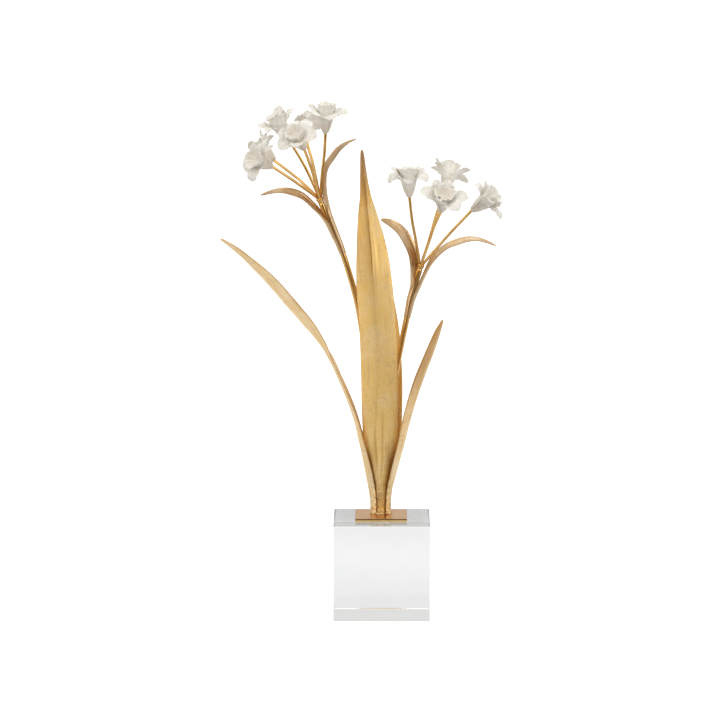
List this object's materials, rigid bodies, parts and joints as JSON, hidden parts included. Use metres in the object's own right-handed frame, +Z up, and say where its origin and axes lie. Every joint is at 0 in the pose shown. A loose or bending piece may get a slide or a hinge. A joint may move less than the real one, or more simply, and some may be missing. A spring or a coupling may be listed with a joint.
{
  "type": "gilded narcissus ornament on clear block",
  "caption": "Table ornament: gilded metal paperwhite narcissus with white porcelain florets, long strap leaves and arching bracts, on a small plate on a clear square block.",
  "frame": {"origin": "middle of the clear block's underside, at the table", "axes": "+X to the right and +Y to the back as the ornament is seen from its front, +Z up"},
  "size_m": [0.2248, 0.11, 0.4074],
  "materials": {
    "clear_acrylic": "polished clear acrylic, sharp edges with a fine bevel",
    "brass_plate": "smooth lacquered brass plate",
    "gilt_metal": "gold leaf over shaped metal, satin, with fine wrinkles and darker toned edges",
    "bisque_porcelain": "matte unglazed white porcelain"
  },
  "bodies": {
    "root": {"clear_block": "clear_acrylic", "base_plate": "brass_plate", "foot_weld": "gilt_metal", "leaf_center": "gilt_metal", "leaf_left": "gilt_metal", "leaf_right": "gilt_metal", "leaf_rear": "gilt_metal", "scape_left": "gilt_metal", "bract_left_left": "gilt_metal", "bract_left_right": "gilt_metal", "ferrule_left": "gilt_metal", "pedicel_left_1": "gilt_metal", "floret_left_1": "bisque_porcelain", "pedicel_left_2": "gilt_metal", "floret_left_2": "bisque_porcelain", "pedicel_left_3": "gilt_metal", "floret_left_3": "bisque_porcelain", "pedicel_left_4": "gilt_metal", "floret_left_4": "bisque_porcelain", "pedicel_left_5": "gilt_metal", "floret_left_5": "bisque_porcelain", "pedicel_left_6": "gilt_metal", "floret_left_6": "bisque_porcelain", "scape_right": "gilt_metal", "bract_right_left": "gilt_metal", "bract_right_right": "gilt_metal", "ferrule_right": "gilt_metal", "pedicel_right_1": "gilt_metal", "floret_right_1": "bisque_porcelain", "pedicel_right_2": "gilt_metal", "floret_right_2": "bisque_porcelain", "pedicel_right_3": "gilt_metal", "floret_right_3": "bisque_porcelain", "pedicel_right_4": "gilt_metal", "floret_right_4": "bisque_porcelain"}
  },
  "joints": []
}
